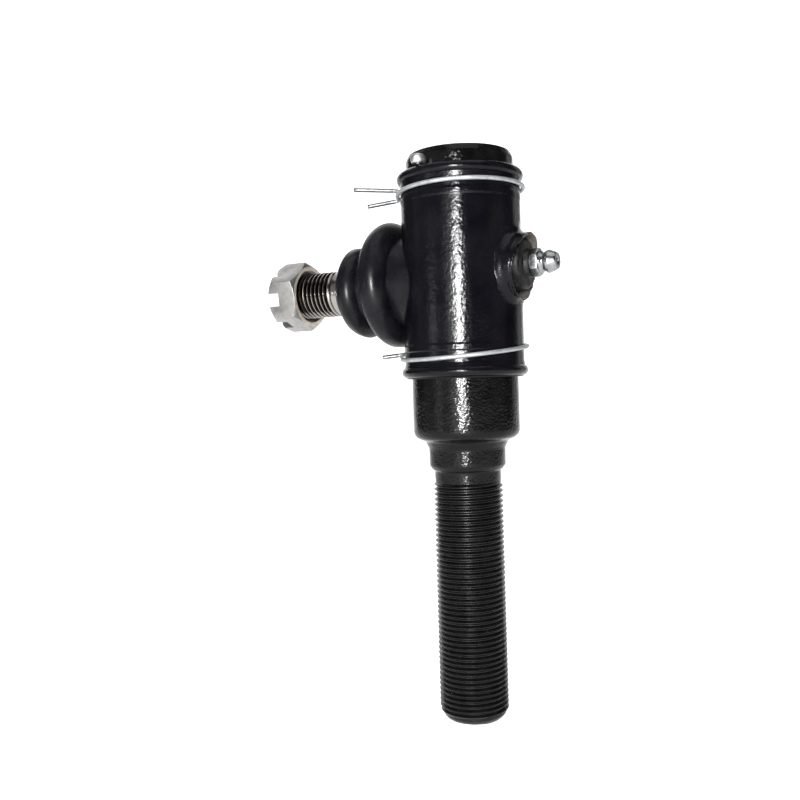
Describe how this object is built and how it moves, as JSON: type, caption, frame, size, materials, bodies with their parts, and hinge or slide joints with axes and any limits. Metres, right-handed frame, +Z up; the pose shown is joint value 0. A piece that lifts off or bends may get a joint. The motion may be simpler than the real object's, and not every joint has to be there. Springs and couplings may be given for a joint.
{
  "type": "tie rod end",
  "caption": "Tie rod end with a greasable ball socket on a threaded shank, and a tapered ball stud under a rubber boot with a slotted nut.",
  "frame": {"origin": "centre of the ball, where the socket tube's axis crosses the stud's axis", "axes": "+Z up along the socket tube towards its open end, the shank along -Z, the stud along -X and the grease fitting along +X"},
  "size_m": [0.0932, 0.0382, 0.1633],
  "materials": {
    "black_paint": "gloss black paint over rough forging",
    "plain_steel": "turned steel",
    "dull_zinc": "dull zinc plate",
    "spring_steel": "oiled spring steel",
    "sintered_steel": "sintered, greased",
    "machined_steel": "bright machined steel",
    "satin_zinc": "satin zinc plate",
    "sleeve_rubber": "semi-gloss black rubber",
    "bright_zinc": "bright zinc plate",
    "boot_rubber": "satin black rubber",
    "polished_steel": "polished"
  },
  "bodies": {
    "housing": {"socket_rod": "black_paint", "end_plug": "plain_steel", "plug_cotter_pin": "dull_zinc", "spring_bumper": "plain_steel", "preload_spring": "spring_steel", "dust_sleeve": "sleeve_rubber", "upper_wire_ring": "bright_zinc", "lower_wire_ring": "bright_zinc", "stud_boot": "boot_rubber", "grease_fitting": "bright_zinc", "check_spring": "spring_steel"},
    "inner_seat": {"inner_ball_seat": "sintered_steel"},
    "outer_seat": {"outer_ball_seat": "sintered_steel"},
    "boot_end": {"boot_cuff": "boot_rubber", "boot_support_ring": "plain_steel"},
    "stud": {"ball_stud": "machined_steel"},
    "nut": {"castle_nut": "satin_zinc"},
    "valve": {"check_ball": "polished_steel"}
  },
  "joints": [
    {"name": "stud_rock", "type": "hinge", "parent": "housing", "child": "outer_seat", "pos_m": [0, 0, 0], "axis": [0, 0, 1], "range_deg": [-14, 14], "deforming": ["stud_boot"]},
    {"name": "stud_swing", "type": "hinge", "parent": "outer_seat", "child": "boot_end", "pos_m": [0, 0, 0], "axis": [0, 1, 0], "range_deg": [-14, 14], "deforming": ["boot_cuff"]},
    {"name": "stud_spin", "type": "hinge", "parent": "boot_end", "child": "stud", "pos_m": [0, 0, 0], "axis": [-1, 0, 0], "continuous": true},
    {"name": "nut_turn", "type": "hinge", "parent": "stud", "child": "nut", "pos_m": [-0.0587, 0, 0], "axis": [-1, 0, 0], "continuous": true},
    {"name": "seat_slide", "type": "slide", "parent": "housing", "child": "inner_seat", "axis": [0, 0, -1], "range_m": [0, 0.001], "stiffness_N_per_m": 20000, "springref_m": -0.001, "deforming": ["preload_spring"]},
    {"name": "valve_slide", "type": "slide", "parent": "housing", "child": "valve", "axis": [-1, 0, 0], "range_m": [0, 0.0008], "stiffness_N_per_m": 200, "springref_m": -0.0005, "deforming": ["check_spring"]}
  ]
}
